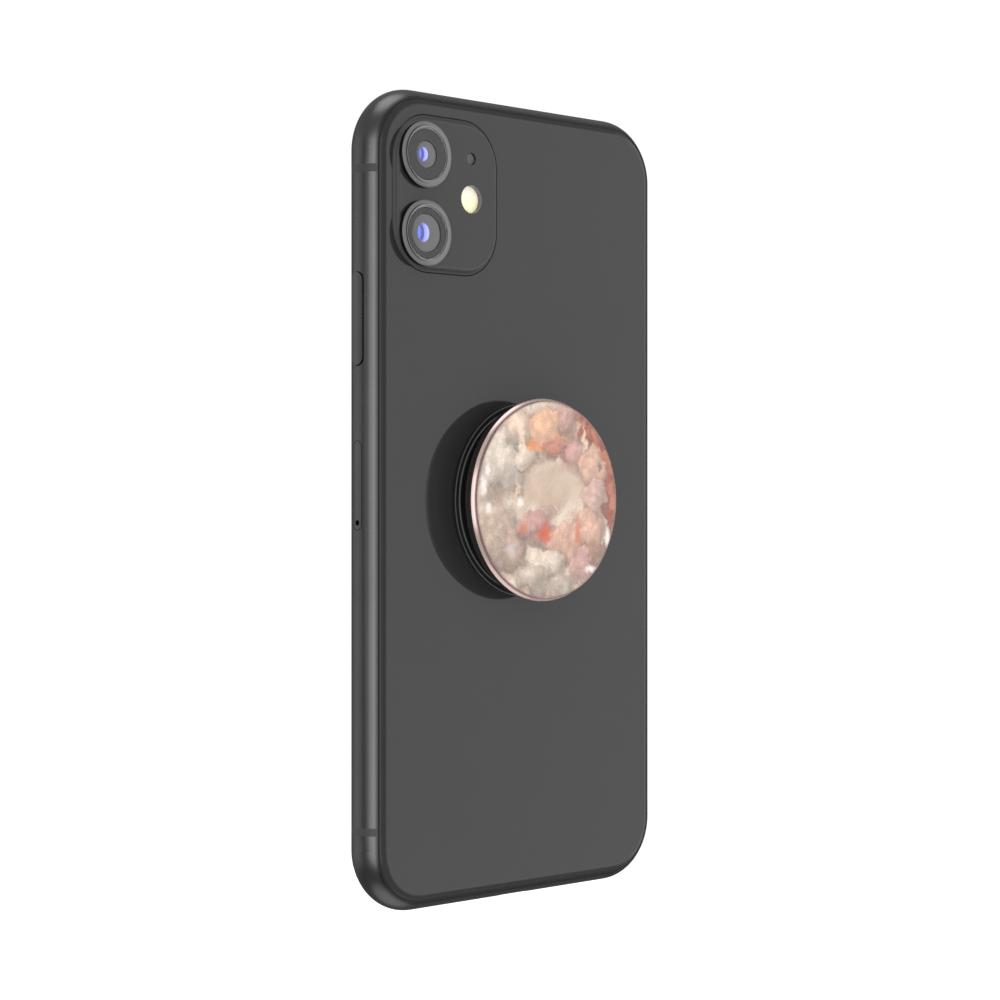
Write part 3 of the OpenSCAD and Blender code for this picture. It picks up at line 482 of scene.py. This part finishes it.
# Its colours, from the side away from the power button
REFLECTION_BANDS = [
    (0.0, "aeb0ff"), (0.28, "9c9eff"), (0.40, "8486e0"), (0.50, "484a80"), (0.66, "55599c"),
    (0.80, "6a82f4"), (1.0, "6074dc"),
]


def coated_lens():
    """Front lens element: smoky glass with a painted, glowing blue and violet reflection of its coating.
    """
    g = polished("coated_lens", srgb("6b6b6c"), 0.03)
    above = g.math("GREATER_THAN", g.z, (UPPER_LENS.z + LOWER_LENS.z) / 2)
    size = g.math("MULTIPLY_ADD", above, UPPER_REFLECTION_R - LOWER_REFLECTION_R, LOWER_REFLECTION_R)
    middle = g.math("MULTIPLY_ADD", above, UPPER_LENS.z - LOWER_LENS.z, LOWER_LENS.z)
    across = g.math("DIVIDE", g.math("SUBTRACT", g.x, UPPER_LENS.x + REFLECTION_SHIFT), size)
    wide = g.times(across, 1 / REFLECTION_SQUEEZE)
    tall = g.math("DIVIDE", g.math("SUBTRACT", g.z, middle), size)
    curved = g.times(tall, tall, -0.22)
    share = g.math("ADD", g.math("MULTIPLY_ADD", wide, 0.5, 0.5), curved)
    bands = g.ramp(share, [(position, srgb(code)) for position, code in REFLECTION_BANDS])
    tips = g.span(g.math("ABSOLUTE", tall), 0.55, 1.0, 0.0, 0.7)
    pupil = g.mix(tips, bands, srgb("74758c"))
    inside = g.span(g.hypot(wide, tall), 1.02, 0.92)
    # Painted reflection of the coating, which also glows though the lens is no lamp
    g.set(Base_Color=g.mix(inside, g.driven("Base Color"), pupil), Emission_Color=pupil,
          Emission_Strength=g.times(inside, REFLECTION_GLOW))
    return g


def flash_lens():
    """Warm flash lens with its moulded rings, rosier above and yellower below, and a faint painted glow
    though the flash is off.
    """
    g = moulded("flash_lens", srgb("fff4da"), 0.3, grain_size=0.4, depth=0.01)
    warm = g.mix(g.span(g.math("SUBTRACT", g.z, FLASH.z), -2.2, 2.2), srgb("fffed0"), srgb("fff4ec"))
    facets = g.cells(0.9, "SMOOTH_F1")
    tone = g.mix(g.span(facets, 0.1, 0.7, 0.0, 0.35), warm, srgb("e6dcb4"))
    # Painted light: a faint glow, though the flash is off
    g.set(Base_Color=tone, Emission_Color=tone, Emission_Strength=0.22)
    rings = g.math("SINE", g.times(g.radius(FLASH), 16.0))
    g.bump(g.math("ADD", rings, facets), depth=0.02, strength=0.6)
    return g


# ---------------------------------------------------------------- port, meshes, front and switch
# Tongue of the charging port: half width, half thickness, middle height, half height, contact pitch
TONGUE = (3.4, 0.4, 4.6, 2.8, 0.8)
# Turn of the mesh's weave per mm, in radians
MESH_TURN = 30.0


def steel_parts():
    """Brushed steel, with gold contacts on the black tongue of the charging port."""
    g = brushed("steel_parts", srgb("a9abad"))
    half_w, half_t, middle, half_h, pitch = TONGUE
    tongue = g.times(g.band(g.x, 0.0, half_w, 0.01), g.band(g.y, 0.0, half_t, 0.01),
                     g.band(g.z, middle, half_h, 0.01))
    stripes = g.band(g.math("FRACT", g.math("DIVIDE", g.x, pitch)), 0.5, 0.27, 0.03)
    contact = g.times(stripes, g.band(g.z, middle - 0.4, 1.7, 0.03))
    front = g.mix(contact, srgb("19191b"), srgb("dcb45c"))
    g.set(Base_Color=g.mix(tongue, g.driven("Base Color"), front), Metallic=g.blend(1.0, contact, tongue))
    return g


def dark_mesh():
    """Woven mesh of the sound openings, darker on the front."""
    g = brushed("dark_mesh", srgb("4c4c4c"), 0.4)
    weave = g.times(g.math("SINE", g.times(g.x, MESH_TURN)), g.math("SINE", g.times(g.z, MESH_TURN)))
    tone = g.mix(g.math("GREATER_THAN", g.y, 0.0), srgb("343434"), srgb("848484"))
    g.set(Base_Color=g.mix(g.span(weave, -0.2, 0.6), tone, srgb("2c2c2c")), Metallic=0.2)
    g.bump(weave, depth=0.02, strength=0.8)
    return g


SCREEN_IN = 4.75
SCREEN_CORNER = 7.25
# Notch, centred on the screen's upper edge: width, height, corner radius
NOTCH = (37.0, 11.2, 3.0)
# Windows in the border above the screen: x, radius, tint of the glass behind
FRONT_WINDOWS = [
    (11.5, 1.7, "252a48"), (-11.0, 1.4, "241a26"), (-14.3, 1.4, "221c2c"), (16.0, 1.4, "1c1c22"),
]
FRONT_WINDOW_Z = BODY_H / MM - 7.4


def front_glass():
    """Black front glass: the dark screen shows inside its blacker border."""
    g = polished("front_glass", srgb("060607"), 0.02)
    w = BODY_W / MM - 2 * SCREEN_IN
    h = BODY_H / MM - 2 * SCREEN_IN
    screen = g.span(g.rounded(0.0, MID_Z / MM, w, h, SCREEN_CORNER), -0.02, 0.06, 1.0, 0.0)
    notch = g.span(g.rounded(0.0, BODY_H / MM - SCREEN_IN, *NOTCH), -0.02, 0.06)
    colour = g.mix(g.times(screen, notch), g.driven("Base Color"), srgb("101116"))
    front = g.math("LESS_THAN", g.y, 0.0)
    for x, r, tint in FRONT_WINDOWS:
        away = g.radius(Vector((x, 0, FRONT_WINDOW_Z)))
        window = g.times(g.span(away, r, r - 0.08), front)
        pupil = g.span(away, 0.0, r * 0.7, 1.0, 0.0)
        colour = g.mix(window, colour, g.mix(pupil, srgb("0b0b0d"), srgb(tint)))
    g.set(Base_Color=colour)
    return g


def mute_base():
    """Floor under the mute switch: orange only in the half that shows when the sound is off."""
    g = moulded("orange_plastic", srgb("d9672b"), 0.5)
    g.set(Base_Color=g.mix(g.span(g.y, -0.1, 0.1), g.driven("Base Color"), srgb("2a2a2c")))
    return g


# ---------------------------------------------------------------- grip
# Painted highlights on the grip base's two steps: radius, and the heights over which each line appears
OUTER_STEP = (18.22, 0.76, 0.84)
INNER_STEP = (17.34, 1.20, 1.10)
# Above the base both lines are gone: the heights over which they fade
STEPS_TOP = (1.32, 1.40)
GRIP_SIDE_R = 18.3
SEAMS_PER_MM = 1.3
CROWN_R = 18.66


def grip_plastic():
    """Black moulded grip, with painted highlights along the base's two steps."""
    g = moulded("grip_plastic", srgb("222224"), 0.3, grain_size=0.15, depth=0.003)
    r = g.radius(GRIP_AXIS)
    height = g.math("SUBTRACT", g.y, BACK)
    # Painted highlights along the two steps of the base
    steps = [g.times(g.band(r, step_r, 0.06, 0.06), g.span(height, low, high))
             for step_r, low, high in (OUTER_STEP, INNER_STEP)]
    step_highlight = g.times(g.math("MAXIMUM", *steps), g.span(height, *STEPS_TOP, 1.0, 0.0))
    warm = g.mix(g.span(height, 3.0, 4.2), g.driven("Base Color"), srgb("272425"))
    seams = g.band(g.math("FRACT", g.times(height, SEAMS_PER_MM)), 0.5, 0.06, 0.06)
    side = g.times(seams, g.math("GREATER_THAN", r, GRIP_SIDE_R))
    g.set(Base_Color=g.mix(step_highlight, g.mix(side, warm, srgb("453a39")), srgb("6a6a6a")))
    return g


def rose_gold():
    """Polished rose-gold rim with a fine turned line on its crown."""
    g = anodised("rose_gold", (0.97, 0.73, 0.69), 0.12)
    crown = g.band(g.radius(GRIP_AXIS), CROWN_R, 0.04, 0.04)
    g.set(Base_Color=g.mix(g.times(crown, 0.6), g.driven("Base Color"), srgb("8a5f57")), Metallic=0.64)
    return g


# ---------------------------------------------------------------- stone disc
STONE_COLOURS = {
    "chalk": "e6dacd", "bone": "dad2c9", "cream": "e2cdbc", "ash": "c4baae", "clay": "c3b1a4",
    "taupe": "bba599", "peach": "e5b99c", "blush": "d8b3a1", "shell": "d4b5ae", "rose": "cda8a2",
    "mauve": "bf9792", "brick": "c48876", "rust": "a75a48", "umber": "aa8877", "calm": "cbb7a7",
    "ivory": "f2e1cc", "lilac": "c9c2cc", "amber": "e8904c", "ember": "d4551f", "copper": "cf7a58",
    "plum": "9c6468", "moss": "6c6a58",
}
# Inclusions of the stone: centre x and z from the disc's centre, half sizes, colour
INCLUSIONS = [
    (12.8, 7.6, 7.2, 6.4, "bone"), (8.0, 13.4, 4.2, 3.6, "cream"), (13.6, -6.2, 5.4, 6.4, "clay"),
    (9.4, -9.4, 3.6, 4.2, "taupe"), (0.8, 12.6, 5.6, 4.6, "peach"), (-2.4, 9.8, 3.4, 2.2, "brick"),
    (-4.8, 15.2, 2.6, 2.2, "rose"), (-7.8, 9.4, 4.4, 4.2, "mauve"), (-12.2, 12.6, 4.6, 2.2, "rust"),
    (-12.6, 6.6, 4.4, 4.6, "blush"), (-16.9, -0.6, 2.2, 5.6, "rust"), (-12.2, 0.6, 3.6, 3.4, "shell"),
    (5.6, 8.2, 2.6, 2.0, "chalk"), (4.2, -5.0, 4.8, 3.0, "mauve"), (-5.0, -7.6, 5.2, 4.0, "blush"),
    (-11.0, -5.6, 3.8, 3.6, "blush"), (1.6, -11.6, 5.4, 2.8, "chalk"), (4.6, -14.8, 4.0, 2.8, "ash"),
    (-3.2, -15.8, 3.4, 2.2, "ash"), (-9.4, -12.2, 4.0, 3.2, "rose"), (-14.0, -10.4, 2.6, 3.4, "umber"),
]
CALM = (-0.9, 3.0, 8.6, 4.6, "calm")
# Small strong marks, as centre, half sizes and colour
FLECKS = [
    (4.4, 10.2, 1.9, 0.8, "amber"), (1.2, -6.3, 1.5, 1.6, "ember"), (-7.6, -6.4, 0.7, 2.6, "copper"),
    (7.2, -5.4, 0.7, 0.9, "copper"), (-14.0, 6.3, 0.5, 0.9, "moss"), (-4.0, 9.0, 0.7, 1.0, "plum"),
    (-9.6, 11.3, 0.6, 2.2, "ivory"), (7.4, 12.9, 0.6, 2.3, "ivory"), (8.9, 1.6, 0.5, 2.8, "cream"),
    (9.8, -8.8, 1.2, 1.3, "lilac"),
]
# Painted white glints of highlight, as centre and half sizes
GLINTS = [
    (-16.2, -7.2, 0.9, 2.2), (-11.4, -13.2, 2.0, 0.8), (17.0, 2.6, 1.0, 2.4), (7.9, -0.4, 1.0, 1.1),
    (15.8, -1.4, 0.9, 1.1), (15.9, 5.6, 0.8, 1.4),
]
STONE_SHADE = 0.84
# Warmth of the clear resin over the stone
RESIN = (1.08, 0.99, 0.91)


def across_disc(g, *pushes):
    """Position over the disc, pushed about by noise given as (size, detail, amount)."""
    at = g.at
    for size, detail, amount in pushes:
        at = g.pushed(at, size, amount, detail)
    split = g.node("SeparateXYZ", Vector=at)
    return split.outputs["X"], g.math("SUBTRACT", split.outputs["Z"], MID_Z / MM)


def spread(g, place, spot, shift=(0.0, 0.0)):
    """Distance from a spot's centre, 1 on its edge."""
    px = g.math("DIVIDE", g.math("SUBTRACT", place[0], spot[0] + shift[0]), spot[2])
    pz = g.math("DIVIDE", g.math("SUBTRACT", place[1], spot[1] + shift[1]), spot[3])
    return g.hypot(px, pz)


def stone_tint(code, factor=STONE_SHADE):
    return shade(srgb(code), factor)


def lumps(g, size):
    """1 on the crown of each lump of a cauliflower crust, falling to 0 in its creases."""
    at = g.pushed(g.at, size * 0.6, size * 0.55, detail=4.0)
    return g.span(g.cells(size, "SMOOTH_F1", at=at), 0.2, 0.55, 1.0, 0.0)


def creases(g, size):
    """1 on the fine crooked seams between lumps."""
    at = g.pushed(g.at, size * 0.5, size * 0.9, detail=5.0, roughness=0.65)
    return g.span(g.cells(size, "DISTANCE_TO_EDGE", at=at), 0.0, 0.10, 1.0, 0.0)


def stone_crust(g, cloud):
    """Lumps of two sizes, less their seams where the cloud is thick: the stone's relief, and painted shade
    in its creases.
    """
    crust = g.math("MULTIPLY_ADD", lumps(g, 3.0), 0.5, g.times(lumps(g, 1.4), 0.5))
    seams = g.times(creases(g, 1.9), g.span(cloud, 0.4, 0.6, 0.25, 1.0))
    return g.math("MULTIPLY_ADD", seams, -0.4, crust)


def stone_ground(g, cloud, mottle):
    """Clouded cream ground, rosier towards the rust side."""
    ground = g.ramp(cloud, [
        (0.34, stone_tint("b39c92")), (0.46, stone_tint("dac8ba")), (0.60, stone_tint("f2e8dc")),
        (0.76, stone_tint("dcc4b4")),
    ])
    rosy = g.times(g.span(g.x, 4.0, -12.0), g.span(mottle, 0.3, 0.7, 0.25, 0.75))
    return g.mix(rosy, ground, stone_tint("d9b3a4"))


def add_inclusion(g, colour, relief, place, spot, crust):
    """Lays one lump over the stone: its painted shadow, then its face, painted as lit from above the rail
    side and painted darker in the creases of its crust.
    """
    # Painted shadow, offset from the lump away from the rail side and downwards
    shadow = g.span(spread(g, place, spot, (-0.5, -0.6)), 1.25, 0.9)
    colour = g.mix(g.times(shadow, 0.55), colour, stone_tint("76605c"))
    # Painted light and shade: the face is lighter towards the rail side and top, darker in the crust's
    # creases
    lit = g.span(spread(g, place, spot, (0.35 * spot[2], 0.45 * spot[3])), 0.2, 1.5, 1.10, 0.62)
    level = g.times(lit, g.math("MULTIPLY_ADD", crust, 0.42, 0.82))
    face = g.dimmed(srgb(STONE_COLOURS[spot[4]]), level)
    inside = g.span(spread(g, place, spot), 1.06, 0.84)
    raised = g.times(inside, g.math("MULTIPLY_ADD", crust, 0.5, 0.5))
    return g.mix(g.times(inside, 0.92), colour, face), g.math("MAXIMUM", relief, raised)


def add_rust(g, colour, radius, place, cloud, mottle):
    """Rust that creeps in from the rim on one side."""
    edge = g.span(g.math("MULTIPLY_ADD", mottle, 4.0, radius), 18.3, 19.4)
    side = g.times(g.span(g.x, -5.0, -10.0), g.span(place[1], -6.0, -2.0))
    tone = g.mix(g.span(cloud, 0.4, 0.6), stone_tint("9a4c38"), stone_tint("c98468"))
    return g.mix(g.times(edge, side), colour, tone)


def stone_disc():
    """Polished agate under clear resin: soft lumps of cream, grey, peach and rust round a calm middle."""
    g = Finish("stone_disc", IOR=1.5, Coat_Weight=1.0, Coat_Roughness=0.02)
    cloud = g.noise(5.5, detail=4.0, distortion=0.8)
    mottle = g.noise(2.2, detail=6.0, roughness=0.6, distortion=0.4)
    grain = g.noise(0.45, detail=4.0, roughness=0.6)
    radius = g.radius(GRIP_AXIS)
    crust = stone_crust(g, cloud)
    colour = stone_ground(g, cloud, mottle)
    relief = g.times(mottle, 0.6)
    place = across_disc(g, (6.5, 1.0, 4.5), (2.0, 5.0, 4.6))
    for spot in INCLUSIONS:
        colour, relief = add_inclusion(g, colour, relief, place, spot, crust)
    colour = add_rust(g, colour, radius, place, cloud, mottle)
    calm_place = across_disc(g, (5.0, 2.0, 3.0), (1.6, 5.0, 1.6))
    calm = g.span(spread(g, calm_place, CALM), 1.16, 0.62)
    quiet = g.mix(g.span(cloud, 0.35, 0.65), stone_tint(STONE_COLOURS[CALM[4]]), stone_tint("dccaba"))
    colour = g.mix(calm, colour, quiet)
    dust = g.times(g.span(grain, 0.3, 0.7, -0.5, 0.5), g.math("SUBTRACT", 1.0, calm))
    colour = g.dimmed(colour, g.math("MULTIPLY_ADD", dust, 0.08, 1.0))
    fleck_place = across_disc(g, (1.4, 5.0, 4.2))
    for spot in FLECKS:
        inside = g.span(spread(g, fleck_place, spot), 1.7, 0.3)
        colour = g.mix(g.times(inside, 0.85), colour, stone_tint(STONE_COLOURS[spot[4]], 0.95))
    glint_place = across_disc(g, (0.7, 4.0, 1.5))
    # Painted highlights: white glints
    for spot in GLINTS:
        inside = g.span(spread(g, glint_place, spot), 1.3, 0.1)
        colour = g.mix(g.times(inside, 0.9), colour, grey(0.93))
    colour = g.mix(1.0, colour, RESIN, "MULTIPLY")
    # Painted shadow of the rim: the stone darkens at its edge
    wall = g.span(radius, 18.0, 18.45, 0.0, 0.35)
    g.set(Base_Color=g.mix(wall, colour, stone_tint("6e5048")))
    g.gloss(grain, 0.2, 0.4)
    g.bump(relief, depth=0.4, strength=0.28)
    return g


def all_finishes():
    """One finish for each material slot of the record."""
    return {
        "anodised_rail": rail_aluminium(),
        "antenna_plastic": moulded("antenna_plastic", srgb("3e3f42"), 0.38, grain_size=0.1, depth=0.002),
        "plate_aluminium": brushed("plate_aluminium", srgb("8b8d90")),
        "back_glass": back_glass(),
        "front_glass": front_glass(),
        "gasket_rubber": moulded("gasket_rubber", srgb("17181a"), 0.6, grain_size=0.1, depth=0.003),
        "ring_aluminium": ring_aluminium(),
        "cover_glass": cover_glass(),
        "camera_black": camera_black(),
        "coated_lens": coated_lens(),
        "steel_parts": steel_parts(),
        "flash_lens": flash_lens(),
        "led_phosphor": moulded("led_phosphor", srgb("d8c46a"), 0.5),
        "dark_mesh": dark_mesh(),
        "screen_panel": polished("screen_panel", srgb("101216"), 0.1),
        "speaker_black": moulded("speaker_black", srgb("2c2d2f"), 0.6),
        "battery_pouch": moulded("battery_pouch", srgb("26282b"), 0.35, grain_size=1.2, depth=0.03),
        "adhesive": moulded("adhesive", srgb("161617"), 0.7, grain_size=0.3),
        "pull_tape": moulded("pull_tape", srgb("e9e4d8"), 0.6),
        "circuit_board": moulded("circuit_board", srgb("1d4a33"), 0.35),
        "card_plastic": moulded("card_plastic", srgb("d9b95a"), 0.4),
        "flex_strip": moulded("flex_strip", srgb("7a4a1e"), 0.4),
        "coil_copper": brushed("coil_copper", srgb("c8834a")),
        "ferrite": moulded("ferrite", srgb("3d3e42"), 0.5),
        "button_aluminium": anodised("button_aluminium", grey(0.215), 0.25),
        "orange_plastic": mute_base(),
        "grip_plastic": grip_plastic(),
        "grip_silicone": moulded("grip_silicone", srgb("1c1c1e"), 0.45, depth=0.006),
        "rose_gold": rose_gold(),
        "stone_disc": stone_disc(),
    }


# ---------------------------------------------------------------- meshes
# Faces that meet at less than this angle shade as one surface
SOFT_LIMIT = math.cos(math.radians(24))


def soften(mesh):
    """Smooth shading that leaves big flats flat: corner normals weighted by face area."""
    around = [[] for _ in mesh.vertices]
    faces = [(p.normal.copy(), p.area) for p in mesh.polygons]
    for p in mesh.polygons:
        for v in p.vertices:
            around[v].append(p.index)
    normals = [None] * len(mesh.loops)
    for p in mesh.polygons:
        own = faces[p.index][0]
        for i in p.loop_indices:
            total = Vector((0, 0, 0))
            for f in around[mesh.loops[i].vertex_index]:
                if faces[f][0].dot(own) > SOFT_LIMIT:
                    total += faces[f][0] * faces[f][1]
            normals[i] = total.normalized() if total.length > 0 else own
    mesh.shade_smooth()
    mesh.normals_split_custom_set([tuple(n) for n in normals])


def dress_cad(finishes):
    for part in frame["record"]["subparts"]:
        mesh = NODES[part["node"]].data
        mesh.materials.clear()
        mesh.materials.append(finishes[part["material_slot"]].mat)
        soften(mesh)


SPUN_STEPS = 96
FOLD_STEPS = 14
FOLD_SWELL = 0.35
# Bellows folds: bodies they join, foot and head as (radius, height above the back), half thickness
FOLDS = {
    "lower": ("phone", "grip_waist", (15.6, 1.32), (12.2, 2.5), 0.32),
    "upper": ("grip_waist", "grip_carrier", (11.3, 2.0), (8.1, 2.98), 0.28),
}


def spun(name, profile):
    """Mesh of a closed (radius, height above the back) profile spun round the grip's axis."""
    points, faces = [], []
    count = len(profile)
    for i in range(SPUN_STEPS):
        a = math.tau * i / SPUN_STEPS
        for r, h in profile:
            points.append((r * math.cos(a) * MM, BACK_Y + h * MM, MID_Z + r * math.sin(a) * MM))
        for j in range(count):
            k, n = (j + 1) % count, (i + 1) % SPUN_STEPS
            faces.append((i * count + j, i * count + k, n * count + k, n * count + j))
    mesh = bpy.data.meshes.new(name)
    mesh.from_pydata(points, [], faces)
    return mesh


def fold_profile(foot, head, half):
    """Closed outline of a thin S-shaped cone from foot to head."""
    middle = []
    for i in range(FOLD_STEPS + 1):
        t = i / FOLD_STEPS
        swell = FOLD_SWELL * math.sin(math.pi * t) * math.sin(2 * math.pi * t)
        middle.append((foot[0] + (head[0] - foot[0]) * t + swell, foot[1] + (head[1] - foot[1]) * t))
    return [(r + half, h) for r, h in middle] + [(r - half, h) for r, h in reversed(middle)]


def add_folds(finish):
    """Rubber cones of the bellows, spun as fixed meshes in place of the CAD bellows; on the real grip they
    stretch as it is pulled out.
    """
    for name, (inner_body, outer_body, foot, head, half) in FOLDS.items():
        mesh = spun(f"bellows_fold_{name}", fold_profile(foot, head, half))
        mesh.materials.append(finish.mat)
        mesh.validate()
        soften(mesh)
        fold = link_object(f"bellows_fold_{name}", mesh)
        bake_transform(fold)
        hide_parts(f"grip_{name}_bellows")


bpy.context.scene.view_settings.view_transform = "Standard"
make_camera()
make_world()
make_floor()
finishes = all_finishes()
dress_cad(finishes)
add_folds(finishes["grip_silicone"])
